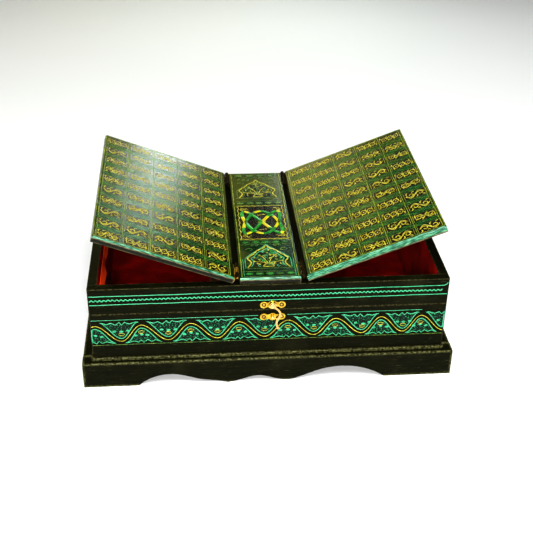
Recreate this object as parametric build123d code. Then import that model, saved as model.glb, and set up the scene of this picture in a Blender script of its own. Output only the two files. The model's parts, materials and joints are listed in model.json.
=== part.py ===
from build123d import *
import os
from math import cos, radians, sin, sqrt, tan

# A lacquered wooden book box. Its hinged lid carries two leaves that swing up from a fixed centre
# panel into a V-shaped book rest, each propped by a folding brace under it.
# X runs left to right, Y front to back and Z up, in millimetres. The origin is the middle of the
# footprint, on the surface that the box stands on. Shapes are made for the right-hand side and
# mirrored to the left. The leaves are made lying flat and then raised to their reading angle.

# Driving dimensions: box
box_length = 400.0
box_depth = 260.0
wall = 10.0
seam_height = 94.0
seam_gap = 0.4
rim_height = 127.0
base_thickness = 3.0
base_overhang = 2.0
lining = 1.0
edge_ease = 1.2

# Plinth with cut-out aprons
plinth_height = 32.5
plinth_overhang_side = 12.0
plinth_overhang_front = 8.0
apron_thickness = 16.0
corner_block = 20.0
corner_block_lift = 2.0

# Centre panel and leaves
panel_thickness = 7.5
panel_half_width = 33.5
panel_inset = 1.5
bearer_half_width = 40.5
bearer_thickness = 6.5
groove = 6.0
leaf_reach = 163.3
leaf_tilt = 21.25
bevel = 1.6

# Folding braces under the leaves
brace_place = 100.0
brace_length = 92.0
brace_width = 61.0
brace_thickness = 6.0
brace_drop = 4.0
brace_ratio = 0.5
brace_clearance = 0.3
ledge_slope = 25.0
ledge_inner = 44.0
ledge_outer = 66.0
ledge_bottom = 97.0
lug_thickness = 1.5
lug_gap = 0.4
lug_radius = 3.5
lug_foot = 9.0
lug_foot_thickness = 1.2
brace_pin_radius = 1.25

# Butt hinges: the running clearance is between each pin and the knuckles that turn on it
running_clearance = 0.05
knuckle_gap = 0.3
lid_hinge_places = (-110.0, 110.0)
lid_hinge_length = 40.0
lid_hinge_height = 21.0
lid_hinge_thickness = 1.2
lid_hinge_knuckle = 2.5
lid_hinge_pin = 1.3
lid_hinge_setback = 2.7
leaf_hinge_places = (-112.0, 112.0)
leaf_hinge_length = 30.0
leaf_hinge_height = 7.0
leaf_hinge_thickness = 1.0
leaf_hinge_knuckle = 2.2
leaf_hinge_pin = 0.9
screw_row = 0.6  # how far up a hinge plate its screws are, as a share of its height

# Countersunk wood screws and round-headed nails
screw_head_radius = 1.9
screw_head_height = 0.9
screw_shank_radius = 0.9
screw_length = 7.0
lug_screw_length = 5.5
nail_head_radius = 1.3
nail_head_height = 0.5
nail_shank_radius = 0.6
nail_length = 7.0
head_rounding = 0.7  # how much of a round head's height is rounded

# Hook latch on the front: the hook turns on the rivet and catches the stud below the seam
latch_x = 2.6
rivet_height = 100.5
stud_height = 84.6
plate_thickness = 1.0
plate_ear_spacing = 9.9
plate_middle_radius = 5.5
plate_ear_radius = 4.4
plate_waist = 6.0
catch_middle_radius = 4.8
rivet_shank_radius = 1.5
rivet_collar_radius = 2.8
rivet_collar_height = 0.6
rivet_head_radius = 3.0
rivet_head_height = 1.1
hook_clearance = 0.3
hook_thickness = 1.3
hook_width = 2.3
hook_spur_width = 1.8
hook_tail_radius = 1.7
hook_eye_radius = 3.9
stud_stem_radius = 1.2
stud_head_radius = 1.8
stud_head_height = 1.0
wood_grip = 5.0

# Worked out from the driving dimensions
half_length = box_length / 2
half_depth = box_depth / 2
base_top = plinth_height + base_thickness
panel_top = rim_height + panel_thickness
half_panel_depth = half_depth - panel_inset
pivot_x = panel_half_width + groove / 2
pivot = (pivot_x, 0, panel_top)
brace_pivot = (pivot_x + brace_place, 0, rim_height - brace_drop)
lid_inside = half_depth - wall - lining
front_face = -half_depth
latch_face = front_face - plate_thickness

parts = {}


def block(x, y, z):
    """A box from its two limits along each axis."""
    size = [high - low for low, high in (x, y, z)]
    centre = [(low + high) / 2 for low, high in (x, y, z)]
    return Pos(*centre) * Box(*size)


def rod(start, direction, length, radius):
    """A round bar that starts at a point and runs along a direction."""
    return extrude(Plane(origin=start, z_dir=direction) * Circle(radius), length)


def group(solids):
    """Separate solids kept together as one node."""
    return Compound(children=list(solids))


def mirrored(shape):
    return mirror(shape, about=Plane.YZ)


def turned(shape, centre, angle):
    """A shape turned about a line along -Y through a centre, so that its +X side rises."""
    return Pos(*centre) * Rot(0, -angle, 0) * Pos(*[-c for c in centre]) * shape


def raised(shape):
    """A right-hand leaf part, swung up from flat to the reading angle."""
    return turned(shape, pivot, leaf_tilt)


# ---------------------------------------------------------------- fasteners

def screw(head, direction, length=screw_length):
    """A countersunk screw whose flat head lies at a point, driven along a direction."""
    plane = Plane(origin=head, z_dir=direction)
    cone = plane * Pos(0, 0, screw_head_height / 2) * Cone(
        screw_head_radius, screw_shank_radius, screw_head_height
    )
    return cone + rod(head, direction, length, screw_shank_radius)


def nail(x, z):
    """A round-headed nail through a latch plate, driven into the front of the box."""
    head = rod((x, latch_face, z), (0, -1, 0), nail_head_height, nail_head_radius)
    head = fillet(head.faces().sort_by(Axis.Y)[0].edges(), nail_head_height * head_rounding)
    return head + rod((x, latch_face, z), (0, 1, 0), nail_length, nail_shank_radius)


# ---------------------------------------------------------------- plinth and box

def extruded_profile(plane, wires, depth):
    """A board cut to a closed outline."""
    return extrude(plane * make_face(wires), depth)


def front_apron():
    """The front board of the plinth, hand-cut below into two wide arches and a small middle one."""
    left, right = -half_length - plinth_overhang_side, half_length + plinth_overhang_side
    left_arch = (-150, 0), (-134, 10.7), (-117, 14.6), (-100, 12.6), (-80, 6.2), (-62, 3.4), (-48, 0)
    middle_arch = (-48, 0), (-32, 3.8), (-12, 8.2), (4, 4), (28, 1.6)
    right_arch = (28, 1.6), (43, 7.4), (59, 13.6), (84, 17.2), (108, 13.4), (133.5, 0)
    outline = [
        Line((left, 0), (-150, 0)),
        Spline(*left_arch),
        Spline(*middle_arch),
        Spline(*right_arch),
        Line((133.5, 0), (right, 0)),
        Polyline((right, 0), (right, plinth_height), (left, plinth_height), (left, 0)),
    ]
    front = -half_depth - plinth_overhang_front
    plane = Plane(origin=(0, front + apron_thickness, 0), x_dir=(1, 0, 0), z_dir=(0, -1, 0))
    return extruded_profile(plane, outline, apron_thickness)


def side_apron():
    """The right-hand board of the plinth, between the front and back ones, with one wide arch below."""
    reach = half_depth + plinth_overhang_front - apron_thickness
    arch = Spline((-82, 0), (-62, 9.5), (-38, 12.6), (0, 10.4), (38, 12.6), (62, 9.5), (82, 0))
    outline = [
        Line((-reach, 0), (-82, 0)),
        arch,
        Line((82, 0), (reach, 0)),
        Polyline((reach, 0), (reach, plinth_height), (-reach, plinth_height), (-reach, 0)),
    ]
    inner = half_length + plinth_overhang_side - apron_thickness
    plane = Plane(origin=(inner, 0, 0), x_dir=(0, 1, 0), z_dir=(1, 0, 0))
    return extruded_profile(plane, outline, apron_thickness)


def eased_top(board, outer_axis, which):
    """A board with its upper outer arris rounded: which is 0 for the axis's low side, -1 for the high."""
    edges = board.faces().sort_by(Axis.Z)[-1].edges().sort_by(outer_axis)
    return fillet(edges[which], edge_ease)


def add_plinth():
    back_y = half_depth + plinth_overhang_front
    end_x = half_length + plinth_overhang_side
    back = block((-end_x, end_x), (back_y - apron_thickness, back_y), (0, plinth_height))
    side = eased_top(side_apron(), Axis.X, -1)
    parts["front_apron"] = eased_top(front_apron(), Axis.Y, 0)
    parts["back_apron"] = eased_top(back, Axis.Y, -1)
    parts["right_apron"] = side
    parts["left_apron"] = mirrored(side)
    x, y = end_x - apron_thickness, back_y - apron_thickness
    low, high = corner_block_lift, plinth_height
    right_blocks = [
        block((x - corner_block, x), (y - corner_block, y), (low, high)),
        block((x - corner_block, x), (-y, -y + corner_block), (low, high)),
    ]
    parts["corner_blocks"] = group(right_blocks + [mirrored(b) for b in right_blocks])
    base_x, base_y = half_length + base_overhang, half_depth + base_overhang
    base = block((-base_x, base_x), (-base_y, base_y), (plinth_height, base_top))
    base = fillet(base.edges().filter_by(Axis.Z), edge_ease)
    parts["base_board"] = fillet(base.faces().sort_by(Axis.Z)[-1].edges(), edge_ease)


def four_boards(half_x, half_y, thickness, bottom, top):
    """Front, back, left and right boards of a rectangular frame; the front and back run full length."""
    inner_x, inner_y = half_x - thickness, half_y - thickness
    right = block((inner_x, half_x), (-inner_y, inner_y), (bottom, top))
    front = block((-half_x, half_x), (-half_y, -inner_y), (bottom, top))
    back = block((-half_x, half_x), (inner_y, half_y), (bottom, top))
    return {"front": front, "back": back, "left": mirrored(right), "right": right}


def add_frames():
    """The walls of the box, the rails of the lid and the cloth that lines them."""
    lid_bottom = seam_height + seam_gap / 2
    box_top = seam_height - seam_gap / 2
    inner_x, inner_y = half_length - wall, half_depth - wall
    walls = four_boards(half_length, half_depth, wall, base_top, box_top)
    rails = four_boards(half_length, half_depth, wall, lid_bottom, rim_height)
    for boards in (walls, rails):
        for side, outermost in (("front", 0), ("back", -1)):
            upright = boards[side].edges().filter_by(Axis.Z).group_by(Axis.Y)[outermost]
            boards[side] = fillet(upright, edge_ease)
    wall_linings = four_boards(inner_x, inner_y, lining, base_top, box_top)
    rail_linings = four_boards(inner_x, inner_y, lining, lid_bottom, rim_height - seam_gap)
    for side in walls:
        parts[f"box_{side}_wall"] = walls[side]
        parts[f"box_{side}_lining"] = wall_linings[side]
        parts[f"lid_{side}_rail"] = rails[side]
        parts[f"lid_{side}_lining"] = rail_linings[side]
    floor_x, floor_y = inner_x - lining, inner_y - lining
    floor = (base_top, base_top + lining)
    parts["floor_lining"] = block((-floor_x, floor_x), (-floor_y, floor_y), floor)


# ---------------------------------------------------------------- hinges

def hinge_spans(length):
    """The three stretches of a hinge's length that hold a knuckle: end, middle, end."""
    third = length / 3
    ends = [-length / 2 + third * i for i in range(4)]
    return [(a + knuckle_gap / 2, b - knuckle_gap / 2) for a, b in zip(ends, ends[1:])]


def hinge_plate(length, height, thickness, knuckle, bore, setback, own, angle=0):
    """Half a butt hinge about the X axis. The plate stands up from the axis, its back at +Y setback.
    own lists which of the three spans have this half's knuckle. angle turns the half about the axis."""
    step = sqrt(max(knuckle**2 - (setback - thickness) ** 2, 0)) + knuckle_gap
    spans = hinge_spans(length)
    solid = block((-length / 2, length / 2), (setback - thickness, setback), (step, height))
    for span in (spans[i] for i in own):
        width = span[1] - span[0]
        solid += block(span, (setback - thickness, setback), (0, height))
        solid += rod((span[0], 0, 0), (1, 0, 0), width, knuckle)
    for span in (spans[i] for i in own):
        solid -= rod((span[0] - 1, 0, 0), (1, 0, 0), span[1] - span[0] + 2, bore)
    return Rot(angle, 0, 0) * solid


def lid_hinge(x):
    """Lower plate, upper plate, pin, lower screws and upper screws of one hinge on the back face."""
    sizes = (lid_hinge_length, lid_hinge_height, lid_hinge_thickness, lid_hinge_knuckle)
    place = Pos(x, half_depth + lid_hinge_setback, seam_height)
    upper = hinge_plate(*sizes, lid_hinge_pin + running_clearance, lid_hinge_setback, (1,))
    lower = hinge_plate(*sizes, lid_hinge_pin, lid_hinge_setback, (0, 2))
    upper = place * Rot(0, 0, 180) * upper
    lower = place * mirror(Rot(0, 0, 180) * lower, about=Plane.XY)
    y = half_depth + lid_hinge_setback
    pin = rod((x - lid_hinge_length / 2, y, seam_height), (1, 0, 0), lid_hinge_length, lid_hinge_pin)
    head_y = half_depth + lid_hinge_thickness
    rise = lid_hinge_height * screw_row
    xs = (x - lid_hinge_length / 3, x + lid_hinge_length / 3)
    lower_screws = [screw((sx, head_y, seam_height - rise), (0, -1, 0)) for sx in xs]
    upper_screws = [screw((sx, head_y, seam_height + rise), (0, -1, 0)) for sx in xs]
    return lower, upper, pin, lower_screws, upper_screws


def add_lid_hinges():
    pins, lower_screws, upper_screws = [], [], []
    for name, x in zip(("left", "right"), lid_hinge_places):
        lower, upper, pin, low_screws, up_screws = lid_hinge(x)
        for s in low_screws:
            lower -= s
            parts["box_back_wall"] -= s
        for s in up_screws:
            upper -= s
            parts["lid_back_rail"] -= s
        parts[f"{name}_lid_hinge_lower_plate"] = lower
        parts[f"{name}_lid_hinge_upper_plate"] = upper
        pins.append(pin)
        lower_screws += low_screws
        upper_screws += up_screws
    parts["lid_hinge_pins"] = group(pins)
    parts["box_hinge_screws"] = group(lower_screws)
    parts["lid_hinge_screws"] = group(upper_screws)


def leaf_hinge(y):
    """Panel plate, leaf plate, pin, panel screws and leaf screws of a right-hand leaf hinge, leaf flat.
    Both plates hang from the pin into the groove, each on the edge of its own board."""
    sizes = (leaf_hinge_length, leaf_hinge_height, leaf_hinge_thickness, leaf_hinge_knuckle)
    setback = groove / 2
    place = Pos(pivot_x, y, panel_top)
    hanging = Rot(180, 0, 0)
    panel_plate = hanging * hinge_plate(*sizes, leaf_hinge_pin, setback, (0, 2))
    leaf_plate = hanging * hinge_plate(*sizes, leaf_hinge_pin + running_clearance, setback, (1,))
    panel_plate = place * Rot(0, 0, -90) * panel_plate
    leaf_plate = place * Rot(0, 0, 90) * leaf_plate
    start = (pivot_x, y - leaf_hinge_length / 2, panel_top)
    pin = rod(start, (0, 1, 0), leaf_hinge_length, leaf_hinge_pin)
    z = panel_top - leaf_hinge_height * screw_row
    ys = (y - leaf_hinge_length / 3, y + leaf_hinge_length / 3)
    face = setback - leaf_hinge_thickness
    panel_screws = [screw((pivot_x - face, sy, z), (-1, 0, 0)) for sy in ys]
    leaf_screws = [screw((pivot_x + face, sy, z), (1, 0, 0)) for sy in ys]
    return panel_plate, leaf_plate, pin, panel_screws, leaf_screws


# ---------------------------------------------------------------- centre panel, leaves and braces

def leaf_board():
    """The right-hand leaf lying flat, its upper edges bevelled."""
    x = (pivot_x + groove / 2, pivot_x + leaf_reach)
    board = block(x, (-half_panel_depth, half_panel_depth), (rim_height, panel_top))
    return chamfer(board.faces().sort_by(Axis.Z)[-1].edges(), bevel)


def centre_panel():
    """The fixed strip between the leaves, bevelled at its front and back."""
    x = (-panel_half_width, panel_half_width)
    board = block(x, (-half_panel_depth, half_panel_depth), (rim_height, panel_top))
    return chamfer(board.faces().sort_by(Axis.Z)[-1].edges().filter_by(Axis.X), bevel)


def brace_slat():
    """The right-hand brace, flat under its leaf: a slat with both ends round and a bore for its pin."""
    px, _, pz = brace_pivot
    half = brace_width / 2
    radius = brace_thickness / 2
    foot_x = px - brace_length
    slat = block((foot_x, px), (-half, half), (pz - radius, pz + radius))
    for x in (foot_x, px):
        slat += rod((x, -half, pz), (0, 1, 0), brace_width, radius)
    bore = brace_pin_radius + running_clearance
    return slat - rod((px, -half - 1, pz), (0, 1, 0), brace_width + 2, bore)


def brace_fittings():
    """The two lugs, the pin and the two screws that hang the right-hand brace from its leaf."""
    px, _, pz = brace_pivot
    inner = brace_width / 2 + lug_gap
    outer = inner + lug_thickness
    pin = rod((px, -outer, pz), (0, 1, 0), 2 * outer, brace_pin_radius)
    foot = (rim_height - lug_foot_thickness, rim_height)
    x = (px - lug_radius, px + lug_radius)
    ear = block(x, (inner, outer), (pz, rim_height))
    ear += rod((px, inner, pz), (0, 1, 0), lug_thickness, lug_radius)
    lug = ear + block(x, (outer, outer + lug_foot), foot) - pin
    fixing = screw((px, outer + lug_foot / 2, foot[0]), (0, 0, 1), lug_screw_length)
    lug -= fixing
    ends = [lug, mirror(lug, about=Plane.XZ)]
    return ends, pin, [fixing, mirror(fixing, about=Plane.XZ)]


def brace_foot():
    """Where the middle of the brace's round foot stands at the reading angle, as x and z."""
    tilt, slant = radians(leaf_tilt), radians(leaf_tilt * (1 + brace_ratio))
    drop = panel_thickness + brace_drop
    x = pivot_x + brace_place * cos(tilt) + drop * sin(tilt) - brace_length * cos(slant)
    z = panel_top + brace_place * sin(tilt) - drop * cos(tilt) - brace_length * sin(slant)
    return x, z


def brace_ledge():
    """The batten in the lid that the right-hand brace stands on, its top rising towards the middle."""
    foot_x, foot_z = brace_foot()
    slope = radians(ledge_slope)
    reach = brace_thickness / 2 + brace_clearance
    touch_x, touch_z = foot_x - reach * sin(slope), foot_z - reach * cos(slope)
    inner_top = touch_z + (touch_x - ledge_inner) * tan(slope)
    outer_top = touch_z - (ledge_outer - touch_x) * tan(slope)
    outline = Polyline(
        (ledge_inner, ledge_bottom),
        (ledge_outer, ledge_bottom),
        (ledge_outer, outer_top),
        (ledge_inner, inner_top),
        close=True,
    )
    plane = Plane(origin=(0, lid_inside, 0), x_dir=(1, 0, 0), z_dir=(0, -1, 0))
    return extruded_profile(plane, outline, 2 * lid_inside)


def panel_bearer():
    """The board between the rails that the centre panel is fixed to; it also closes the grooves below."""
    x = (-bearer_half_width, bearer_half_width)
    return block(x, (-lid_inside, lid_inside), (rim_height - bearer_thickness, rim_height))


def add_top():
    """The centre panel on its bearer, and both leaves with their hinges, braces and fittings."""
    panel = centre_panel()
    board = leaf_board()
    pins, panel_screws = [], []
    lugs, brace_pin, leaf_screws = brace_fittings()
    sides = {"right": lambda shape: shape, "left": mirrored}
    for place, y in zip(("front", "back"), leaf_hinge_places):
        panel_plate, leaf_plate, pin, plate_screws, board_screws = leaf_hinge(y)
        for s in plate_screws:
            panel_plate -= s
            panel = panel - s - mirrored(s)
        for s in board_screws:
            leaf_plate -= s
        leaf_screws += board_screws
        for side, to_side in sides.items():
            parts[f"{side}_{place}_hinge_panel_plate"] = to_side(panel_plate)
            parts[f"{side}_{place}_hinge_leaf_plate"] = to_side(raised(leaf_plate))
            pins.append(to_side(pin))
            panel_screws += [to_side(s) for s in plate_screws]
    for s in leaf_screws:
        board -= s
    brace = raised(turned(brace_slat(), brace_pivot, leaf_tilt * brace_ratio))
    ledge = brace_ledge()
    parts["centre_panel"] = panel
    parts["panel_bearer"] = panel_bearer()
    parts["brace_ledges"] = group([ledge, mirrored(ledge)])
    parts["leaf_hinge_pins"] = group(pins)
    parts["panel_hinge_screws"] = group(panel_screws)
    for side, to_side in sides.items():
        parts[f"{side}_leaf_board"] = to_side(raised(board))
        parts[f"{side}_leaf_screws"] = group([to_side(raised(s)) for s in leaf_screws])
        parts[f"{side}_brace_lugs"] = group([to_side(raised(lug)) for lug in lugs])
        parts[f"{side}_brace_pin"] = to_side(raised(brace_pin))
        parts[f"{side}_brace_slat"] = to_side(brace)


# ---------------------------------------------------------------- latch

def latch_outline(z, middle_radius):
    """A plate with a round middle and two round ears, flat on the front of the box."""
    plane = Plane(origin=(latch_x, front_face, z), x_dir=(1, 0, 0), z_dir=(0, -1, 0))
    face = Circle(middle_radius) + Rectangle(2 * plate_ear_spacing, plate_waist)
    for x in (-plate_ear_spacing, plate_ear_spacing):
        face += Pos(x, 0) * Circle(plate_ear_radius)
    return extrude(plane * face, plate_thickness)


def hook():
    """The swan-necked hook, hanging from its eye just clear of the stud, with a curled finger tail."""
    back = latch_face - rivet_collar_height - hook_clearance
    plane = Plane(origin=(latch_x, back, rivet_height), x_dir=(1, 0, 0), z_dir=(0, -1, 0))
    tail = (6.3, -30.4)
    arm = (1.6, -2.6), (5.6, -5.6), (8.2, -10.2), (7.4, -15.2), (4.9, -20.2), (4.4, -25.6), tail
    spur = (7.3, -15.4), (5.4, -17.7), (3.5, -18.6)
    face = Circle(hook_eye_radius) + trace(Spline(*arm), hook_width)
    face += trace(Spline(*spur), hook_spur_width) + Pos(*tail) * Circle(hook_tail_radius)
    face -= Circle(rivet_shank_radius + running_clearance)
    return extrude(plane * face, hook_thickness)


def rivet():
    """The hook's pivot: a shank in the wood, a collar under the hook and a domed head over it."""
    start = (latch_x, front_face + wood_grip, rivet_height)
    gap = hook_thickness + 2 * hook_clearance
    length = wood_grip + plate_thickness + rivet_collar_height + gap
    outward = (0, -1, 0)
    shank = rod(start, outward, length, rivet_shank_radius)
    collar_start = (latch_x, latch_face, rivet_height)
    collar = rod(collar_start, outward, rivet_collar_height, rivet_collar_radius)
    head_start = (latch_x, latch_face - rivet_collar_height - gap, rivet_height)
    head = rod(head_start, outward, rivet_head_height, rivet_head_radius)
    head = fillet(head.faces().sort_by(Axis.Y)[0].edges(), rivet_head_height * head_rounding)
    return shank + collar + head


def stud():
    """The catch: a stem in the wood with a small round head that stands further out than the hook."""
    start = (latch_x, front_face + wood_grip, stud_height)
    out = plate_thickness + rivet_collar_height + hook_thickness + 2 * hook_clearance
    stem = rod(start, (0, -1, 0), wood_grip + out, stud_stem_radius)
    head_start = (latch_x, front_face - out, stud_height)
    head = rod(head_start, (0, -1, 0), stud_head_height, stud_head_radius)
    head = fillet(head.faces().sort_by(Axis.Y)[0].edges(), stud_head_height * head_rounding)
    return stem + head


def add_latch():
    latch_plate = latch_outline(rivet_height, plate_middle_radius)
    catch_plate = latch_outline(stud_height, catch_middle_radius)
    pivot_pin, catch = rivet(), stud()
    xs = (latch_x - plate_ear_spacing, latch_x + plate_ear_spacing)
    lid_nails = [nail(x, rivet_height) for x in xs]
    box_nails = [nail(x, stud_height) for x in xs]
    for tool in lid_nails + [pivot_pin]:
        latch_plate -= tool
        parts["lid_front_rail"] -= tool
    for tool in box_nails + [catch]:
        catch_plate -= tool
        parts["box_front_wall"] -= tool
    parts["latch_plate"] = latch_plate
    parts["latch_rivet"] = pivot_pin
    parts["latch_plate_nails"] = group(lid_nails)
    parts["catch_plate"] = catch_plate
    parts["catch_stud"] = catch
    parts["catch_plate_nails"] = group(box_nails)
    parts["latch_hook"] = hook()


add_plinth()
add_frames()
add_lid_hinges()
add_top()
add_latch()

os.makedirs("parts", exist_ok=True)
for name, shape in parts.items():
    export_step(shape, f"parts/{name}.step")
print(len(parts), "nodes; brace foot stands at", [round(c, 2) for c in brace_foot()])
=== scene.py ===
import json
import random
from math import cos, pi, radians, sin

import bpy
import numpy as np
from mathutils import Matrix, Vector


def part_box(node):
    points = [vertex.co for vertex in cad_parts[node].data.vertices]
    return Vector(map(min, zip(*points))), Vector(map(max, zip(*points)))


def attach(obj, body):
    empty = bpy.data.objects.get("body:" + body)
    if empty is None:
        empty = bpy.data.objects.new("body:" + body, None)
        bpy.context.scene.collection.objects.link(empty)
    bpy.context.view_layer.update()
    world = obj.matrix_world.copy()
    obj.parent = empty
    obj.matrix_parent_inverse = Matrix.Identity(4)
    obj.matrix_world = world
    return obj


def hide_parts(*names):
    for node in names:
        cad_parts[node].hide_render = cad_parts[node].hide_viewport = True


# The looks of a lacquered book box with a V-shaped book rest. Shapes and places come from the packed
# frame. Ornament sizes are in millimetres on the face that carries them; Blender objects are in metres.

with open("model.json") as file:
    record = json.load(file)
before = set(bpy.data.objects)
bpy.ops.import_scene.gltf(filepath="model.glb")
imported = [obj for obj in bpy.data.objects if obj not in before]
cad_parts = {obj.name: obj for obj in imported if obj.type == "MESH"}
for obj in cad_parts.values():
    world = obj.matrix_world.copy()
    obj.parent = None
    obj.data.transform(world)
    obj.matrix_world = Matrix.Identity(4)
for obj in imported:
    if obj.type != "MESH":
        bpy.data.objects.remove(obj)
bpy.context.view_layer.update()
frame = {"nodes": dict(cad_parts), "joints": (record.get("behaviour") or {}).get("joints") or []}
MM = 0.001
FULL_TURN = 2 * pi
X, Y, Z = (1, 0, 0), (0, 1, 0), (0, 0, 1)
rng = random.Random(7)
between = rng.uniform


def in_scene(name, data):
    """A new object with this data, linked to the scene."""
    thing = bpy.data.objects.new(name, data)
    bpy.context.scene.collection.objects.link(thing)
    return thing


# ---- places read from the frame

def box_mm(node):
    """A CAD node's lowest and highest corners, in millimetres."""
    low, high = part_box(node)
    return [c / MM for c in low], [c / MM for c in high]


pins = {joint["name"]: joint["pos_m"] for joint in frame["joints"]}
wall_low, wall_high = box_mm("box_front_wall")
panel_low, panel_high = box_mm("centre_panel")
leaf_high = box_mm("right_leaf_board")[1]

FRONT = wall_low[1]
HALF_LENGTH = wall_high[0]
RIM = box_mm("lid_front_rail")[1][2]
TOP = panel_high[2]
HALF_PANEL = panel_high[0]
HALF_DEPTH = panel_high[1]
DEPTH = 2 * HALF_DEPTH
PIVOT = pins["right_leaf_hinge"][0] / MM

# The leaves at rest. LEAF_INNER and LEAF_REACH run along the leaf from its hinge pins, to the board's inner
# edge and to its outermost corner; BOARD_REACH runs to the outer end of the board, past its bevel.
TILT = radians(21.25)
BEVEL = 1.6
LEAF_INNER = PIVOT - HALF_PANEL
LEAF_REACH = (leaf_high[0] - PIVOT) / cos(TILT)
BOARD_REACH = (leaf_high[2] - TOP) / sin(TILT) + BEVEL


# ---- faces that carry ornament

class Face:
    """A flat face with its own millimetre axes: unit vectors u and v across it, and h out of it."""

    def __init__(self, body, origin, u, v):
        self.body = body
        self.origin = Vector(origin)
        self.u, self.v = Vector(u), Vector(v)
        self.out = self.u.cross(self.v)

    def place(self, u, v, h):
        return (self.origin + self.u * u + self.v * v + self.out * h) * MM


front_wall = Face("box", (0, FRONT, 0), X, Z)
front_rail = Face("lid", (0, FRONT, 0), X, Z)
panel_top = Face("lid", (0, -HALF_DEPTH, TOP), X, Y)
along, rise = cos(TILT), sin(TILT)
hinge_edge = (PIVOT + LEAF_INNER * along, -HALF_DEPTH, TOP + LEAF_INNER * rise)
outer_edge = (-PIVOT - LEAF_REACH * along, -HALF_DEPTH, TOP + LEAF_REACH * rise)
right_top = Face("right_leaf", hinge_edge, (along, 0, rise), Y)
left_top = Face("left_leaf", outer_edge, (along, 0, -rise), Y)


# ---- materials

LACQUER_SHINE = 0.06
PAINT_SHINE = 0.22
MATT_SHINE = 0.1
GRAIN_ACROSS, GRAIN_ALONG = 90, 5


class Nodes:
    """A node tree and the few kinds of node that the looks here are made of."""

    def __init__(self, tree):
        self.tree = tree

    def put(self, socket, value):
        if isinstance(value, bpy.types.NodeSocket):
            self.tree.links.new(value, socket)
        else:
            socket.default_value = value

    def add(self, kind, **inputs):
        node = self.tree.nodes.new("ShaderNode" + kind)
        for key, value in inputs.items():
            self.put(node.inputs[key.replace("_", " ")], value)
        return node

    def mapped(self, vector, scale=(1, 1, 1), rotation=(0, 0, 0), location=(0, 0, 0)):
        node = self.add("Mapping", Vector=vector, Scale=scale, Rotation=rotation, Location=location)
        return node.outputs["Vector"]

    def noise(self, vector, scale, detail=3, rough=0.5, distortion=0):
        node = self.add("TexNoise", Vector=vector, Scale=scale, Detail=detail, Roughness=rough,
                        Distortion=distortion)
        return node.outputs["Fac"]

    def wave(self, vector, scale, distortion, detail):
        node = self.add("TexWave", Vector=vector, Scale=scale, Distortion=distortion, Detail=detail)
        node.bands_direction = "Y"
        return node.outputs["Fac"]

    def math(self, operation, a, b):
        node = self.tree.nodes.new("ShaderNodeMath")
        node.operation = operation
        self.put(node.inputs[0], a)
        self.put(node.inputs[1], b)
        return node.outputs[0]

    def plus(self, a, b):
        return self.math("ADD", a, b)

    def times(self, a, b):
        return self.math("MULTIPLY", a, b)

    def span(self, value, low, high, start=0, end=1):
        """The value taken smoothly from start to end as it goes from low to high."""
        node = self.add("MapRange", Value=value, From_Min=low, From_Max=high, To_Min=start, To_Max=end)
        node.interpolation_type = "SMOOTHSTEP"
        return node.outputs["Result"]

    def mix(self, factor, a, b):
        node = self.tree.nodes.new("ShaderNodeMix")
        node.data_type = "RGBA"
        for index, value in ((0, factor), (6, a), (7, b)):
            if isinstance(value, tuple):
                value = (*value, 1)
            self.put(node.inputs[index], value)
        return node.outputs[2]

    def split(self, vector):
        return self.add("SeparateXYZ", Vector=vector).outputs

    def edge(self, vector, low, high, width):
        """1 along the arrises of a box given in millimetres, fading to 0 at a width from them."""
        near = []
        for socket, a, b in zip(self.split(vector), low, high):
            from_low = self.math("SUBTRACT", socket, a * MM)
            from_high = self.math("SUBTRACT", b * MM, socket)
            near.append(self.math("MINIMUM", from_low, from_high))
        x, y, z = near
        nearer, farther = self.math("MINIMUM", x, y), self.math("MAXIMUM", x, y)
        middle = self.math("MAXIMUM", nearer, self.math("MINIMUM", farther, z))
        return self.span(middle, 0, width * MM, 1, 0)


class Look(Nodes):
    """A material's nodes. The shader's own numbers are given by name, with _ for a space."""

    def __init__(self, name, shine=0.5, **shader):
        self.material = bpy.data.materials.new(name)
        self.material.use_nodes = True
        super().__init__(self.material.node_tree)
        self.shader = self.tree.nodes["Principled BSDF"]
        self.at = self.add("TexCoord").outputs["Object"]
        shader["Specular_IOR_Level"] = shine
        for key, value in shader.items():
            self.shader.inputs[key.replace("_", " ")].default_value = value

    def done(self, colour, rough, height=None, distance=0, strength=0):
        """Links the colour, the roughness and the bump's height to the shader, and gives the material."""
        self.put(self.shader.inputs["Base Color"], colour)
        self.put(self.shader.inputs["Roughness"], rough)
        if height is not None:
            node = self.add("Bump", Height=height, Distance=distance, Strength=strength)
            self.put(self.shader.inputs["Normal"], node.outputs["Normal"])
        return self.material


def srgb(red, green, blue):
    """A colour of 0 to 255 parts as the shader's linear numbers."""
    parts = (c / 255 for c in (red, green, blue))
    return tuple(c / 12.92 if c <= 0.04045 else ((c + 0.055) / 1.055) ** 2.4 for c in parts)


def toned(colour, share):
    """A darker or lighter colour."""
    return tuple(c * share for c in colour)


BLACK = srgb(16, 18, 7)
BLACK_WARM = srgb(27, 26, 11)
PLINTH = srgb(17, 18, 8)
PLINTH_WARM = srgb(28, 28, 12)
OLIVE = srgb(98, 94, 62)
OLIVE_DARK = srgb(42, 42, 24)
OLIVE_PALE = srgb(110, 110, 72)
WORN = srgb(122, 112, 84)
TEAL = srgb(60, 158, 116)
TEAL_DEEP = srgb(20, 98, 68)
EDGE_TEALS = srgb(30, 70, 50), srgb(66, 132, 102), srgb(122, 166, 132)
GREEN = srgb(22, 62, 26)
# The paler olive of the ground's random patches, and of its painted haze towards the back.
LEAF_GREEN = srgb(110, 116, 52)
HATCH = srgb(13, 13, 5)
GOLD = srgb(188, 180, 62)
WOOD = srgb(62, 32, 20)
WOOD_PALE = srgb(104, 60, 36)
WOOD_WORN = srgb(140, 92, 58)
WOOD_PORE = srgb(34, 18, 12)


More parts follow.
